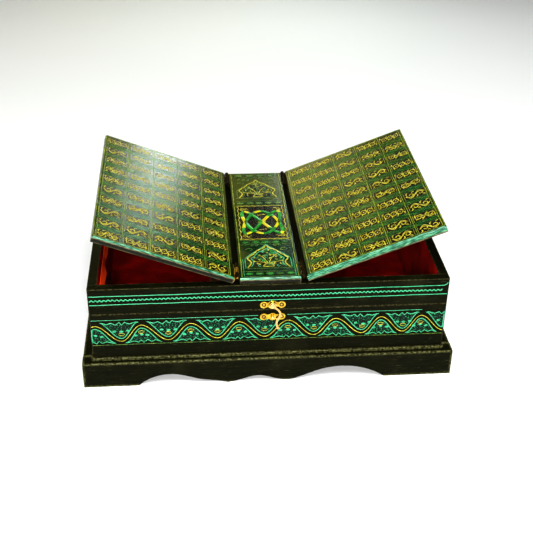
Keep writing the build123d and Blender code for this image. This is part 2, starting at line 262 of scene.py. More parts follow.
def lacquer(name, low, high, along, dark=BLACK, warm=BLACK_WARM, worn=OLIVE, rub_and_highlight_strength=0.6, width=1.3,
            gloss=(0.22, 0.42)):
    """Hand-brushed black lacquer on wood: grain and brush marks along one axis, arrises paler olive for wear
    and a painted highlight.
    """
    n = Look(name, LACQUER_SHINE)
    stretch = [GRAIN_ACROSS] * 3
    stretch[along] = GRAIN_ALONG
    grain = n.noise(n.mapped(n.at, stretch), 7, 6, 0.65, 0.3)
    streak = n.noise(n.mapped(n.at, [s * 3 for s in stretch]), 6, 2)
    blotch = n.noise(n.at, 22, 4, 0.6)
    rub_and_highlight = n.span(n.noise(n.at, 420, 4, 0.7), 0.42, 0.6, 0.06, rub_and_highlight_strength)
    body = n.mix(n.span(grain, 0.35, 0.7), dark, warm)
    body = n.mix(n.span(blotch, 0.5, 0.78, 0, 0.5), body, OLIVE_DARK)
    body = n.mix(n.span(streak, 0.66, 0.8, 0, 0.5), body, worn)
    # Painted highlight with wear: the arrises go towards the worn olive where the rounded edges catch the
    # light as well as where the lacquer is rubbed through.
    body = n.mix(n.times(n.edge(n.at, low, high, width), rub_and_highlight), body, worn)
    height = n.plus(grain, n.times(streak, 0.5))
    return n.done(body, n.span(blotch, 0.3, 0.75, *gloss), height, 0.00008, 0.5)


def ornament_ground(name, low, high, teal_depth, turn=0, shift=(0, 0, 0)):
    """A painted top: green hatched with fine dark wavy lines and paler olive towards the back as a painted
    haze, the front arris in teal down to teal_depth, the sides lacquered with olive arrises for wear and a
    painted highlight. turn and shift take a tilted board back to where it would lie flat."""
    n = Look(name, PAINT_SHINE)
    at = n.mapped(n.at, rotation=(0, turn, 0), location=shift)
    y, z = n.split(at)[1:]
    wobble = n.noise(at, 60, 3, 0.6)
    hatch = n.wave(at, 250, 5, 2.5)
    fleck = n.noise(n.mapped(at, (70, 260, 70)), 6, 3, 0.6)
    # Painted haze: y shifts the ground towards the paler olive at the back, standing for the sky's
    # reflection, over random patches of tone.
    tone_and_painted_haze = n.plus(n.noise(at, 14, 4, 0.6), n.times(y, 1.3))
    paint = n.mix(n.span(tone_and_painted_haze, 0.38, 0.66), GREEN, LEAF_GREEN)
    paint = n.mix(n.span(fleck, 0.55, 0.75, 0, 0.3), paint, TEAL_DEEP)
    paint = n.mix(n.span(hatch, 0.3, 0.8, 0.95, 0.12), paint, HATCH)

    grain = n.noise(n.mapped(at, (GRAIN_ACROSS, GRAIN_ALONG, GRAIN_ACROSS)), 7, 5, 0.6)
    side = n.mix(n.span(grain, 0.35, 0.7), BLACK, BLACK_WARM)
    # Painted highlight with wear: the side arrises are taken towards olive for rubbed lacquer and for the
    # light the edges catch.
    rub_and_highlight = n.span(wobble, 0.4, 0.65, 0.1, 0.6)
    side = n.mix(n.times(n.edge(at, low, high, 1.8), rub_and_highlight), side, OLIVE)
    body = n.mix(n.span(z, (high[2] - 1.9) * MM, (high[2] - 0.5) * MM), side, paint)

    uneven = n.times(wobble, 1.2 * MM)
    hand_y, hand_z = n.plus(y, uneven), n.plus(z, uneven)
    front = n.span(hand_y, (low[1] + 2) * MM, (low[1] + 2.6) * MM, 1, 0)
    floor = (high[2] - teal_depth) * MM
    painted = n.span(hand_z, floor, floor + 0.7 * MM)
    bare = n.span(hand_z, floor - 1.2 * MM, floor - 0.6 * MM)
    streak = n.noise(n.mapped(at, (14, 120, 120)), 9, 4, 0.6)
    teal = n.mix(n.span(streak, 0.4, 0.55), EDGE_TEALS[0], EDGE_TEALS[1])
    teal = n.mix(n.span(streak, 0.52, 0.66), teal, EDGE_TEALS[2])
    scuffed = n.times(bare, n.span(streak, 0.4, 0.55, 0.1, 0.8))
    body = n.mix(n.times(front, scuffed), body, WORN)
    body = n.mix(n.times(front, painted), body, teal)
    return n.done(body, n.span(fleck, 0.3, 0.75, 0.16, 0.28), n.plus(hatch, fleck), 0.00007, 0.35)


def paint(name, main, pale, deep, scale=160, mottle=(0.42, 0.62)):
    """Thick brushed paint: two tones of one colour, pooled darker in places, with fine brush relief."""
    n = Look(name, PAINT_SHINE)
    pool = n.noise(n.at, scale, 4, 0.6)
    brush = n.noise(n.at, scale * 7, 3, 0.6)
    body = n.mix(n.span(pool, *mottle), deep, main)
    body = n.mix(n.span(brush, 0.52, 0.7, 0, 0.8), body, pale)
    return n.done(body, n.span(brush, 0.3, 0.7, 0.2, 0.34), n.plus(brush, pool), 0.0001, 0.4)


def speckled(name, dark, light, share, scale):
    """Dark paint with small light flecks scraped into it."""
    n = Look(name, PAINT_SHINE)
    fleck = n.noise(n.at, scale, 2)
    body = n.mix(n.span(n.noise(n.at, 90, 3, 0.6), 0.35, 0.7), dark, toned(dark, 1.7))
    body = n.mix(n.span(fleck, *share), body, light)
    return n.done(body, n.span(fleck, 0.35, 0.7, 0.2, 0.36), fleck, 0.0001, 0.4)


def felt(name, main, deep):
    """Flocked lining cloth: short fibres, brushed patches and a soft sheen."""
    n = Look(name, MATT_SHINE, Sheen_Weight=0.12, Sheen_Roughness=0.45, Sheen_Tint=(0.9, 0.1, 0.05, 1))
    fibre = n.noise(n.at, 2600, 4, 0.7)
    nap = n.noise(n.at, 28, 4, 0.55, 0.6)
    body = n.mix(n.span(nap, 0.35, 0.68), deep, main)
    body = n.mix(n.span(fibre, 0.35, 0.7, 0, 0.4), body, toned(deep, 0.6))
    height = n.plus(fibre, n.times(nap, 2))
    return n.done(body, n.span(fibre, 0.3, 0.7, 0.85, 1), height, 0.0006, 0.8)


def metal(name, main, deep, rough, tarnish=0.5):
    """Stamped sheet metal: fine scratches, finger-dulled patches and tarnish in the hollows."""
    n = Look(name, Metallic=1)
    dull = n.noise(n.at, 260, 4, 0.6)
    scratch = n.noise(n.mapped(n.at, (300, 300, 3000)), 3, 3, 0.6)
    spots = n.noise(n.at, 900, 3, 0.6)
    body = n.mix(n.span(dull, 0.35, 0.7, 0, tarnish), main, deep)
    body = n.mix(n.span(spots, 0.6, 0.72, 0, 0.6), body, toned(deep, 0.4))
    return n.done(body, n.span(dull, 0.3, 0.75, *rough), n.plus(scratch, spots), 0.00006, 0.35)


def overpainted_brass(name, bare):
    """A brass hinge that was lacquered over with the box, with the brass showing through in worn spots."""
    n = Look(name, LACQUER_SHINE)
    worn = n.span(n.noise(n.at, 190, 4, 0.6), 0.62, 0.7)
    skin = n.mix(n.span(n.noise(n.at, 500, 3, 0.6), 0.4, 0.65), BLACK, srgb(52, 40, 20))
    n.put(n.shader.inputs["Metallic"], n.times(worn, 0.9))
    rough = n.span(worn, 0, 1, 0.62, 0.4)
    return n.done(n.mix(worn, skin, bare), rough, n.math("SUBTRACT", 1, worn), 0.0001, 0.5)


def stained_wood(name, low, high, along):
    """Plain stained timber with an open grain, as inside the plinth and on the braces."""
    n = Look(name)
    stretch = [60] * 3
    stretch[along] = 4
    grain = n.noise(n.mapped(n.at, stretch), 9, 8, 0.65, 0.6)
    pore = n.noise(n.mapped(n.at, [s * 6 for s in stretch]), 6, 2)
    body = n.mix(n.span(grain, 0.35, 0.68), WOOD, WOOD_PALE)
    body = n.mix(n.span(pore, 0.6, 0.75, 0, 0.7), body, WOOD_PORE)
    body = n.mix(n.times(n.edge(n.at, low, high, 1.2), 0.5), body, WOOD_WORN)
    return n.done(body, n.span(grain, 0.3, 0.7, 0.5, 0.75), n.math("SUBTRACT", grain, pore), 0.0005, 0.6)


TEAL_PAINT = paint("teal_paint", TEAL, srgb(128, 190, 148), srgb(32, 126, 88), mottle=(0.34, 0.5))
GOLD_PAINT = paint("gold_paint", GOLD, srgb(214, 206, 104), srgb(142, 132, 34), 220)
LIME_PAINT = paint("lime_paint", srgb(140, 150, 44), GOLD, srgb(86, 108, 26), 90)
GREEN_PAINT = paint("green_paint", srgb(26, 128, 52), srgb(80, 170, 70), GREEN, 140)
MOSS_PAINT = paint("moss_paint", srgb(98, 124, 48), srgb(150, 162, 82), srgb(40, 84, 38), 120)
KNOT_GREEN = paint("knot_green", srgb(34, 146, 40), srgb(86, 180, 54), srgb(16, 100, 36), 120)
KNOT_YELLOW = paint("knot_yellow", srgb(188, 192, 20), srgb(210, 210, 44), srgb(182, 164, 18), 120)
SPECKLED_GREEN = speckled("speckled_green", srgb(3, 17, 9), srgb(22, 122, 76), (0.56, 0.62), 600)
CELL_GROUND = speckled("cell_ground", srgb(20, 16, 7), srgb(64, 56, 24), (0.62, 0.74), 700)
# Painted shade: the dark rings round the latch's nails, for the shade in their dents.
PAINTED_NAIL_SHADE = speckled("nail_painted_shade", srgb(40, 26, 8), srgb(110, 78, 20), (0.5, 0.7), 1500)
BRASS = metal("brass", srgb(220, 190, 80), srgb(132, 94, 22), (0.2, 0.42), 0.7)
HOOK_BRASS = metal("hook_brass", srgb(236, 204, 144), srgb(168, 124, 66), (0.16, 0.34), 0.6)
OLD_BRASS = metal("old_brass", srgb(216, 180, 84), srgb(140, 104, 36), (0.42, 0.62), 0.8)
STEEL = metal("steel", srgb(176, 172, 164), srgb(110, 104, 96), (0.25, 0.45))
OVERPAINTED = overpainted_brass("overpainted_brass", srgb(198, 146, 40))
RED_FELT = felt("red_felt", srgb(186, 22, 10), srgb(132, 8, 6))
# A lit copy of the red felt: its brighter orange is painted light on the left lining's loose edge.
PAINTED_LIT_FELT = felt("painted_lit_felt", srgb(255, 104, 26), srgb(240, 70, 20))


def leaf_board_look(name):
    """A leaf's ground, laid out on its board as if it lay flat beside the panel, and turned up with it."""
    inner, outer = PIVOT + LEAF_INNER, PIVOT + BOARD_REACH
    if name.startswith("right"):
        side, left, right, teal_depth = 1, inner, outer, 5.6
    else:
        side, left, right, teal_depth = -1, -outer, -inner, 1.5
    turn = side * TILT
    pivot = Vector((side * PIVOT, 0, TOP)) * MM
    shift = pivot - Matrix.Rotation(turn, 3, "Y") @ pivot
    low, high = (left, panel_low[1], RIM), (right, panel_high[1], TOP)
    return ornament_ground(name, low, high, teal_depth, turn, shift)


def look_of(name):
    """The material of a CAD node that stays in view."""
    low, high = box_mm(name)
    size = [b - a for a, b in zip(low, high)]
    along = size.index(max(size))
    if name.endswith("leaf_board"):
        return leaf_board_look(name)
    if name == "centre_panel":
        return ornament_ground(name, low, high, 1.9)
    if name in ("brace_ledges", "corner_blocks") or "slat" in name:
        return stained_wood(name, low, high, along)
    # Plinth and base board: a wide, strong band of pale olive on every arris, for wear and a painted
    # highlight.
    if "apron" in name or name == "base_board":
        return lacquer(name, low, high, along, PLINTH, PLINTH_WARM, OLIVE_PALE, 0.9, 3.4)
    if name == "panel_bearer":
        return lacquer(name, low, high, along, gloss=(0.6, 0.75))
    if "wall" in name or "rail" in name:
        return lacquer(name, low, high, along)
    if "lining" in name:
        return RED_FELT
    if name in ("latch_plate_nails", "catch_plate_nails", "left_front_hinge_leaf_plate"):
        return OLD_BRASS
    if name in ("latch_hook", "latch_rivet", "catch_stud"):
        return HOOK_BRASS
    if "screw" in name or "brace_pin" in name:
        return STEEL
    if "_hinge_panel_plate" in name or "_hinge_leaf_plate" in name or name == "leaf_hinge_pins":
        return OVERPAINTED
    return BRASS


def dress_nodes():
    for name, node in frame["nodes"].items():
        node.data.materials.clear()
        node.data.materials.append(look_of(name))


# ---- raised paint

# How deep paint starts inside its face, how high grounds, scrolls and petals stand, and in degrees the
# bend that keeps an edge sharp.
SINK, FILM, SCROLL_RISE, PETAL_RISE = 0.02, 0.05, 0.28, 0.26
CREASE = 75


def add_piece(name, verts, faces, material, body, crease):
    """A mesh that rides on a body, with edges sharp over a bend of crease degrees; 0 is faceted."""
    mesh = bpy.data.meshes.new(name)
    mesh.from_pydata([tuple(v) for v in verts], [], faces)
    mesh.validate()
    mesh.update()
    mesh.polygons.foreach_set("use_smooth", [bool(crease)] * len(mesh.polygons))
    if crease:
        mesh.set_sharp_from_angle(angle=radians(crease))
    mesh.materials.append(material)
    piece = in_scene(name, mesh)
    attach(piece, body)
    return piece


def unit(rows):
    return rows / np.maximum(np.linalg.norm(rows, axis=1), 1e-9)[:, None]


class Relief:
    """Raised paint of one colour on one face, gathered into a single closed-surface mesh."""

    def __init__(self, name, face, material, slot):
        self.name, self.face, self.material, self.slot = name, face, material, slot
        self.verts, self.faces = [], []

    def line(self, points, width, height=SCROLL_RISE, closed=False, taper=0):
        """A round-backed ribbon along a line. taper narrows it towards both ends."""
        p = np.array(points, float)
        ahead = np.roll(p, -1, 0) - p
        behind = p - np.roll(p, 1, 0)
        if not closed:
            ahead[-1], behind[0] = behind[-1], ahead[0]
        heading = unit(unit(ahead) + unit(behind))
        side = np.stack([-heading[:, 1], heading[:, 0]], 1)
        wide = width * (1 - taper * np.abs(np.linspace(-1, 1, len(p))) ** 2)
        first, rings = len(self.verts), len(p)
        for q, s, w in zip(p, side, wide):
            for across, rise in ((-0.5, 0), (-0.3, 1), (0.3, 1), (0.5, 0)):
                self.verts.append(self.face.place(*(q + s * w * across), rise * height - SINK))
        for i in range(rings if closed else rings - 1):
            a, b = first + 4 * i, first + 4 * ((i + 1) % rings)
            for k in range(4):
                self.faces.append((a + k, b + k, b + (k + 1) % 4, a + (k + 1) % 4))
        if not closed:
            last = first + 4 * (rings - 1)
            self.faces += [range(first, first + 4), range(last + 3, last - 1, -1)]

    def patch(self, outline, height=FILM):
        """A flat dab of paint with this outline."""
        first, count = len(self.verts), len(outline)
        for h in (-SINK, height):
            self.verts += [self.face.place(u, v, h) for u, v in outline]
        self.faces += [range(first + count, first + 2 * count), range(first + count - 1, first - 1, -1)]
        for i in range(count):
            j = (i + 1) % count
            self.faces.append((first + i, first + j, first + count + j, first + count + i))

    def dot(self, u, v, across, tall=None, height=0.2, turn=0, sides=10):
        """A domed dab, oval where it is given a height of its own."""
        tall = tall or across
        c, s = cos(turn), sin(turn)
        first = len(self.verts)
        for share, rise in ((1, 0), (0.72, 0.75)):
            for x, y in ring(0, 0, across / 2 * share, tall / 2 * share, sides):
                at = u + x * c - y * s, v + x * s + y * c
                self.verts.append(self.face.place(*at, rise * height - SINK))
        self.verts.append(self.face.place(u, v, height))
        peak = first + 2 * sides
        self.faces.append(range(first + sides - 1, first - 1, -1))
        for k in range(sides):
            j = (k + 1) % sides
            self.faces.append((first + k, first + j, first + sides + j, first + sides + k))
            self.faces.append((first + sides + k, first + sides + j, peak))

    def build(self, crease=CREASE):
        add_piece(self.name, self.verts, self.faces, self.material, self.face.body, crease)


def smooth(points, steps):
    """A Catmull-Rom line through the points, with this many steps between each two."""
    p = np.array(points, float)
    p = np.concatenate([p[:1], p, p[-1:]])
    t = (np.arange(steps) / steps)[:, None]
    line = []
    for a, b, c, d in zip(p, p[1:], p[2:], p[3:]):
        bend, twist = 2 * a - 5 * b + 4 * c - d, 3 * b - a - 3 * c + d
        line.append(0.5 * (2 * b + (c - a) * t + bend * t**2 + twist * t**3))
    return np.concatenate([*line, p[-1:]])


def shaky(points, amount, seed):
    """A line with the small unevenness of a hand."""
    p = np.array(points, float)
    drift = np.cumsum(np.random.default_rng(seed).normal(0, 1, p.shape), 0)
    drift -= np.linspace(0, 1, len(p))[:, None] * drift[-1]
    return p + drift / max(np.abs(drift).max(), 1e-9) * amount


def ruled(a, b, step, wobble, seed):
    """A hand-ruled straight line."""
    a, b = np.array(a, float), np.array(b, float)
    count = max(3, int(np.linalg.norm(b - a) / step))
    return shaky([a + (b - a) * t for t in np.linspace(0, 1, count)], wobble, seed)


def arc(u, v, reach, rise, start, end, count=9):
    """Points along an oval arc, from one angle to another."""
    return [(u + reach * cos(a), v + rise * sin(a)) for a in np.linspace(start, end, count)]


def ring(u, v, reach, rise, count=20):
    """Points round a whole oval."""
    return arc(u, v, reach, rise, 0, FULL_TURN * (1 - 1 / count), count)


def spiral(u, v, radius, start, turns, side):
    """A spiral round a centre, from its outer end inwards. side is 1 or -1."""
    line = []
    for share in (k / 15 for k in range(16)):
        reach, angle = radius * (1 - 0.74 * share), start + side * FULL_TURN * turns * share
        line.append((u + reach * cos(angle), v + reach * sin(angle)))
    return line


def curl(u, v, size, start, turn, side):
    """A spiral that grows out of a point, with its first heading and its sense, 1 or -1."""
    line, count = [(u, v)], 13
    heading, step = start, size * 0.32
    for k in range(count):
        heading += side * turn / count * (0.5 + 1.3 * k / (count - 1))
        step *= 0.93
        line.append((line[-1][0] + cos(heading) * step, line[-1][1] + sin(heading) * step))
    return line


def petal(relief, u, v, long, wide, heading, height=PETAL_RISE):
    """A teardrop leaf, drawn from its stalk end."""
    bend = heading + 0.5
    middle = (u + cos(bend) * long * 0.55, v + sin(bend) * long * 0.55)
    tip = (u + cos(heading) * long, v + sin(heading) * long)
    relief.line(smooth([(u, v), middle, tip], 4), wide, height, taper=0.75)


# ---- front bands

BAND_END = HALF_LENGTH - 1.4
LID_LOWER, LID_CORD, LID_UPPER = 106.6, 112.5, 118
CORD_PITCH = 4.7
WALL_LOWER, WALL_UPPER = 52.5, 86.2
VINE_TURNS = (-222, -195, -166, -144, -114, -89, -59, -35, -6, 20, 50, 74, 105, 126, 152, 172, 199, 224)
VINE_MIDDLE = 68
VINE_SWING = 10.6
# The ragged edge of a vine leaf: shares of its width, and how deep each tooth is.
RAGGED = ((0.93, 0.1), (0.86, 1), (0.76, 2.3), (0.67, 1), (0.64, 0.2), (0.57, 3.4), (0.515, 1.2),
          (0.5, -0.2), (0.44, 2.2), (0.4, 3.9), (0.31, 1.4), (0.28, 0.9), (0.17, 2.6), (0.07, 0.9))


def vine_height(x):
    """The vine's height at x: half cosine waves between its listed turns, first a trough, then a peak."""
    for i, (a, b) in enumerate(zip(VINE_TURNS, VINE_TURNS[1:])):
        if a <= x <= b:
            rising = 1 if i % 2 == 0 else -1
            return VINE_MIDDLE - rising * VINE_SWING * cos(pi * (x - a) / (b - a))
    return VINE_MIDDLE


def lid_band():
    """Two ruled lines with a cord-like zigzag between them, along the front of the lid."""
    end = BAND_END
    lines = Relief("lid_band_lines", front_rail, TEAL_PAINT, "teal_paint")
    lines.line(ruled((-end, LID_LOWER), (end, LID_LOWER + 0.4), 6, 0.5, 1), 1.15, 0.18)
    upper = list(ruled((-end, LID_UPPER), (end - 9, LID_UPPER + 0.3), 6, 0.45, 2))
    upper += [(end - 4, LID_UPPER + 0.6), (end - 1.5, LID_UPPER + 1.9), (end, LID_UPPER + 4.2)]
    lines.line(upper, 1.15, 0.18)
    lines.build()
    cord = Relief("lid_band_cord", front_rail, TEAL_PAINT, "teal_paint")
    spine = ruled((-end, LID_CORD), (end, LID_CORD + 0.2), CORD_PITCH, 0.8, 3)
    zigzag, x = [], -end
    while x < end - CORD_PITCH:
        y = float(np.interp(x, spine[:, 0], spine[:, 1]))
        high = x + CORD_PITCH * between(0.52, 0.64)
        zigzag += [(x, y - 0.7), (x + 0.9, y - 0.75), (high - 0.6, y + 0.55), (high + 0.3, y + 0.75)]
        x += CORD_PITCH * between(0.94, 1.06)
    cord.line(zigzag, 1.55, 0.3)
    cord.build()


def vine_leaf(left, middle, right, sign):
    """A vine leaf's outline: an arch inside the vine's bend, two swept tips and a ragged edge. sign is 1
    where the bend points up, else -1."""
    border = WALL_LOWER + 2.9 if sign > 0 else WALL_UPPER - 3.4
    sides = []
    for way, half in ((-1, middle - left), (1, right - middle)):
        side = []
        for share in np.linspace(0, 1, 16):
            reach = half * 0.72 * share
            height = vine_height(middle + way * reach / 0.85) - sign * 4.1
            if (height - border) * sign < 2.6:
                break
            side.append((middle + way * reach, height))
        last = side[-1][0]
        side.append((last + way * 1.7, border + sign * 1.3))
        side.append((last + way * between(4.6, 5.8), border - sign * between(0, 0.6)))
        sides.append(side)
    arch = sides[0][::-1] + sides[1][1:]
    start, width = arch[0][0], arch[-1][0] - arch[0][0]
    ragged = RAGGED
    if rng.random() < 0.5:
        ragged = [(1 - share, deep) for share, deep in reversed(RAGGED)]
    edge = [(start + width * share, border + sign * (deep * between(0.85, 1.15) - 0.5))
            for share, deep in ragged]
    return [(min(max(x, -BAND_END), BAND_END), y) for x, y in (*arch, *edge)]


def wall_band():
    """Ruled borders, a gold vine and a teal-outlined leaf in each of its bends, on the box front."""
    end = BAND_END
    borders = Relief("wall_band_upper_line", front_wall, TEAL_PAINT, "teal_paint")
    borders.line(ruled((-end, WALL_UPPER), (-13.5, WALL_UPPER), 6, 0.4, 4), 0.8, 0.12)
    borders.line(ruled((19, WALL_UPPER), (end - 26, WALL_UPPER + 0.3), 6, 0.4, 5), 0.8, 0.12)
    borders.build()
    lower = Relief("wall_band_lower_line", front_wall, MOSS_PAINT, "gold_paint")
    lower.line(ruled((-end, WALL_LOWER), (end, WALL_LOWER + 0.4), 6, 0.5, 6), 0.8, 0.12)
    lower.build()
    gold = Relief("wall_vine", front_wall, GOLD_PAINT, "gold_paint")
    gold.line(shaky([(x, vine_height(x)) for x in np.linspace(-end, end, 320)], 0.35, 8), 0.95, 0.2)
    teal = Relief("wall_leaf_outlines", front_wall, TEAL_PAINT, "teal_paint")
    fill = Relief("wall_leaf_grounds", front_wall, SPECKLED_GREEN, "teal_paint")
    dots = Relief("wall_leaf_dots", front_wall, TEAL_PAINT, "teal_paint")
    for i in range(1, len(VINE_TURNS) - 1):
        left, middle, right = VINE_TURNS[i - 1:i + 2]
        sign = 1 if i % 2 == 1 else -1
        outline = vine_leaf(left, middle, right, sign)
        fill.patch(outline)
        teal.line(shaky(outline, 0.3, 20 + i), 1.25, 0.2, closed=True)
        tip = VINE_MIDDLE + sign * (VINE_SWING - 7.6)
        if abs(middle) < end - 4:
            gold.line(arc(middle, tip - sign * 1.9, 3.4, sign * 1.9, 0.15, 2.99), 0.8, 0.2, taper=0.4)
            gold.line(arc(middle, tip - sign * 1.9, 3.1, -sign * 1.5, 0.1, 3.04), 1, 0.22, taper=0.6)
        for du, dv in ((-7.2, 6.4), (0.4, 5.2), (7.2, 6.6)):
            u = middle + du + between(-0.7, 0.7)
            v = tip - sign * (dv + between(-0.5, 0.5))
            if abs(u) < end - 2:
                dots.dot(u, v, 5 + between(-0.9, 0.4), 3.2, 0.28, between(-0.3, 0.3))
    for relief in (gold, teal, dots):
        relief.build()
    fill.build(crease=0)


def nail_painted_shade():
    """Painted shade: dark rings round the latch's nails, standing for the shade in the dents they sit in."""
    nail_inset = 4.4
    for body, plate in (("lid", "latch_plate"), ("box", "catch_plate")):
        low, high = box_mm(plate)
        ring_shade = Relief(f"{body}_nail_painted_shade", Face(body, (0, low[1], 0), X, Z), PAINTED_NAIL_SHADE, "brass_fittings")
        for x in (low[0] + nail_inset, high[0] - nail_inset):
            ring_shade.line(ring(x, (low[2] + high[2]) / 2, 2, 2), 1.3, 0.06, closed=True)
        ring_shade.build()


# ---- ornament on the leaves

def running_vine(relief, u0, u1, v, tall, bays):
    """A wavy stem with a spiral in each of its bays and a leaf at each crossing."""
    bay, up = (u1 - u0) / bays, rng.choice((-1, 1))
    radius = min(bay * 0.42, tall * 0.36)
    stem = []
    for i in range(bays * 8 + 1):
        swing = up * tall * 0.4 * sin(pi * i / 8)
        stem.append((u0 + bay * i / 8, v + swing + between(-0.15, 0.15)))
    relief.line(stem, 1.6, taper=0.3)
    for i in range(bays):
        side = up if i % 2 == 0 else -up
        middle = u0 + bay * (i + 0.5)
        eye = spiral(middle + 0.2, v - side * 0.5, radius, pi, between(0.95, 1.2), -side)
        relief.line(eye, 1.5, taper=0.2)
        petal(relief, middle - bay * 0.36, v - side * tall * 0.16, tall * 0.34, 1.9, -side * pi / 2 - 0.3)
        petal(relief, middle + bay * 0.2, v - side * tall * 0.34, tall * 0.24, 1.6, -side * 0.4)


def flower_spray(relief, u0, u1, v, tall):
    """A four-petalled flower between two scrolls."""
    middle, reach, radius = (u0 + u1) / 2, (u1 - u0) / 2, tall * 0.33
    turned_way = rng.choice((-1, 1))
    for k in range(4):
        a = pi / 4 + k * pi / 2
        petal(relief, middle + 0.9 * cos(a), v + 0.9 * sin(a), tall * 0.3, 2.1, a, SCROLL_RISE)
    relief.dot(middle, v, 1.7, height=0.32)
    for side in (-1, 1):
        up = side * turned_way
        quarter = pi / 2 * up
        centre = middle + side * reach * 0.62
        relief.line(spiral(centre, v, radius, quarter, 1.3, -side * up), 1.3, taper=0.2)
        bend = middle + side * reach * 0.3, v + up * tall * 0.28
        stem = [(middle + side * 1.8, v - up * 0.6), bend, (centre, v + up * radius)]
        relief.line(smooth(stem, 5), 1.3, taper=0.3)
        petal(relief, middle + side * reach * 0.36, v - up * tall * 0.1, tall * 0.36, 1.8, -quarter)
        petal(relief, middle + side * reach * 0.9, v + up * tall * 0.1, tall * 0.34, 1.7, quarter)
        relief.dot(middle + side * reach * 0.92, v - up * tall * 0.3, 1.5, height=PETAL_RISE, sides=8)


def plait(relief, u0, u1, v, tall):
    """Two crossing waves with a dot in each eye and leaves in the corners."""
    loops, steps, long = 3, 30, u1 - u0
    for phase in (0, pi):
        wave = [(u0 + long * i / steps, v + tall * 0.3 * sin(phase + loops * pi * i / steps))
                for i in range(steps + 1)]
        relief.line(shaky(wave, 0.25, rng.randrange(999)), 1.3, taper=0.25)
    for i in range(loops):
        relief.dot(u0 + long * (i + 0.5) / loops, v, 2, 2.6, 0.3, sides=8)
    for i in range(loops + 1):
        for up in (-1, 1):
            heading = up * pi / 2 + between(-0.3, 0.3)
            petal(relief, u0 + long * i / loops, v + up * tall * 0.14, tall * 0.32, 1.7, heading)


def scroll(relief, u0, u1, v, tall):
    """One cell's ornament, one of a few foliate patterns."""
    kind = rng.choice(("three", "two", "flower", "plait"))
    if kind == "flower":
        flower_spray(relief, u0, u1, v, tall)
    elif kind == "plait":
        plait(relief, u0, u1, v, tall)
    else:
        running_vine(relief, u0, u1, v, tall, 3 if kind == "three" else 2)


ROWS = [DEPTH - m for m in (15, 42, 67.5, 93, 118.5, 144.5, 170.5, 196.5, 221.5, 245.5)]
PITCHES = (3.8, 35, 66.5, 98, 129, 158.2)
CELL_TALL = 15.8
THREADS = (-4.2, -2.1, 0, 2.1, 4.2)


def leaf_cell(cell, gold, u0, u1, v):
    """A dark cell with clipped corners between two column lines, its scroll and its two side lines."""
    a, b, lip = u0 + 1.7, u1 - 1.7, 1.4
    low = v - CELL_TALL / 2 + between(-0.5, 0.5)
    high = v + CELL_TALL / 2 + between(-0.5, 0.5)
    cell.patch([(a + lip, low), (b - lip, low), (b, low + lip), (b, high - lip), (b - lip, high),
                (a + lip, high), (a, high - lip), (a, low + lip)])
    scroll(gold, a + 2.6, b - 2.6, v, CELL_TALL * 0.94)
    for u in (a + 0.5, b - 0.5):
        gold.line(ruled((u, low + 1.6), (u, high - 1.6), 3, 0.3, rng.randrange(999)), 0.55, 0.2)


def leaf_top(face, name, columns, outer):
    """The whole field of one leaf: borders, columns, and rows of scrolled cells between green bands.
    outer is where the thin line beside the outer border runs."""
    gold = Relief(f"{name}_scrolls", face, GOLD_PAINT, "gold_paint")
    lime = Relief(f"{name}_lines", face, LIME_PAINT, "gold_paint")
    green = Relief(f"{name}_band_lines", face, GREEN_PAINT, "painted_top")
    moss = Relief(f"{name}_band_threads", face, MOSS_PAINT, "painted_top")
    cell = Relief(f"{name}_cells", face, CELL_GROUND, "painted_top")
    front, back, first, last = 3.4, DEPTH - 3, columns[0], columns[-1]
    for i, u in enumerate(columns):
        lime.line(ruled((u, front), (u, back), 5, 0.7, 40 + i), 1, 0.22)
    lime.line(ruled((outer, 4), (outer, DEPTH - 4), 5, 0.5, 50), 0.7, 0.18)
    lime.line(ruled((first, front), (last, front), 5, 0.4, 51), 0.9, 0.2)
    lime.line(ruled((first, back), (last, back), 5, 0.4, 52), 0.8, 0.2)
    for row, v in enumerate(ROWS):
        for u0, u1 in zip(columns, columns[1:]):
            leaf_cell(cell, gold, u0, u1, v)
        if v == ROWS[-1]:
            continue
        gap, steps = (ROWS[row + 1] + v) / 2, 46
        for k, offset in enumerate(THREADS):
            wavy = []
            for t in range(steps + 1):
                swing = 0.55 * sin(t * 1.15 + k * 1.7 + row)
                u = first + 1 + (last - first - 2) * t / steps
                wavy.append((u, gap + offset + swing + between(-0.18, 0.18)))
            (green if k % 2 else moss).line(wavy, between(0.55, 0.85), 0.16)
    for relief in (gold, lime, green, moss):
        relief.build()
    cell.build(crease=0)


# ---- ornament on the centre panel

# Half outlines of the arches, from the apex down, in millimetres from it.
GOLD_ARCH = ((0, 0), (1.6, -3.2), (4.2, -6.4), (8.2, -8.9), (11.6, -12.2), (14.2, -17.2), (18.6, -21.4),
             (21.8, -26), (22.4, -29.5), (20, -33), (19.4, -38), (21.6, -43), (23.8, -47))
OUTER_ARCH = ((0, 2.8), (4.4, -3), (10.5, -9.6), (18, -17.5), (24.6, -26), (25.8, -31), (25.8, -46.5))
INNER_ARCH = ((0, -5.4), (3.6, -9.6), (8, -12.6), (11.4, -16.6), (14.6, -22.6), (18.4, -27.6),
              (16.6, -33), (16.8, -39), (19.6, -45))
ARCH_TALL, SHOULDER = 47, 28
FRONT_APEX, BACK_APEX = 69, 234.5
OVAL_ROWS = ((9, 5), (77, 5), (173, 5), (248.5, 4))
KNOT_LOW, KNOT_HIGH = 84.5, 165


def arch_line(half, apex, foils=0):
    """An arch through one half's points, mirrored. foils is how many small scallops its shoulders have."""
    right = smooth([(u, v + apex) for u, v in half], 6)
    shoulder = right[:, 1] > apex - SHOULDER
    right[shoulder, 0] += np.abs(np.sin(np.linspace(0, foils * pi, int(shoulder.sum()))))
    left = right[::-1] * np.array([-1, 1])
    return np.concatenate([left[:-1], right])


def half_width(v, apex):
    """How wide the inner arch is at a height, from its middle line."""
    widths, heights = zip(*INNER_ARCH[::-1])
    return float(np.interp(v - apex, heights, widths))


